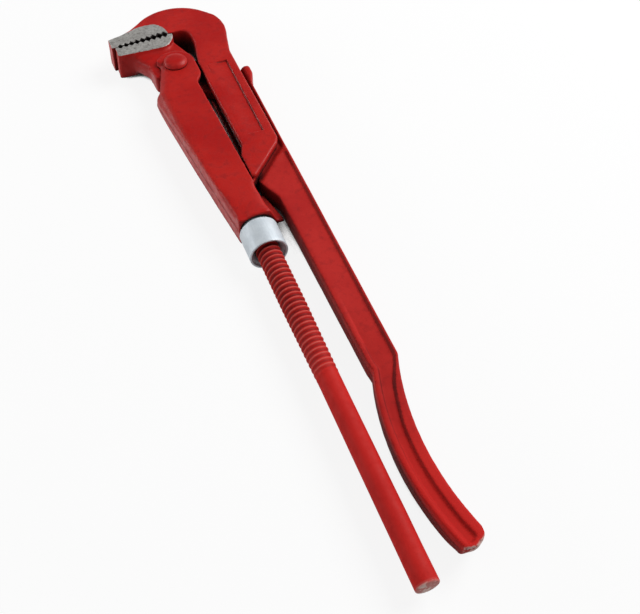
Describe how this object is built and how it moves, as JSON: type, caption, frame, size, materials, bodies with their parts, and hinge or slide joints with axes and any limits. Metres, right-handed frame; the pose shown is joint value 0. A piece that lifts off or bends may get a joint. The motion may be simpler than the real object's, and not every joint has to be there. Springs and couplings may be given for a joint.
{
  "type": "angled pipe wrench",
  "caption": "Forged pipe wrench with hook jaw square to the handles, riveted lever jaw, channel sleeve and round adjusting nut on a threaded rod handle.",
  "frame": {"origin": "middle of the underside of the whole wrench lying on its rear face, jaws closed", "axes": "+Y up the rod towards the jaws, +X towards the lever's grip, +Z out of the front face"},
  "size_m": [0.0816, 0.4354, 0.0259],
  "materials": {
    "red_enamel": "semi-gloss red enamel over forged steel, bare at the jaws",
    "zinc_plate": "pale bright zinc plate",
    "spring_wire": "plain oiled spring wire"
  },
  "bodies": {
    "lever": {"lever_with_lower_jaw": "red_enamel"},
    "sleeve": {"housing_sleeve": "red_enamel", "pivot_rivet": "red_enamel", "nut_retaining_ring": "spring_wire"},
    "hook": {"hook_leg": "red_enamel", "threaded_rod": "red_enamel"},
    "nut": {"adjusting_nut": "zinc_plate"}
  },
  "joints": [
    {"name": "sleeve_pivot", "type": "hinge", "parent": "lever", "child": "sleeve", "pos_m": [-0.00443, 0.15825, 0.0121], "axis": [0, 0, 1], "range_deg": [-10, 0]},
    {"name": "nut_turn", "type": "hinge", "parent": "sleeve", "child": "nut", "pos_m": [-0.00043, 0, 0.0121], "axis": [0, -1, 0], "range_deg": [0, 6686]},
    {"name": "hook_slide", "type": "slide", "parent": "sleeve", "child": "hook", "axis": [0, 1, 0], "range_m": [0, 0.065]}
  ],
  "couplings": [
    {"joint": "nut_turn", "follows": "hook_slide", "rad_per_m": 1795.2}
  ]
}
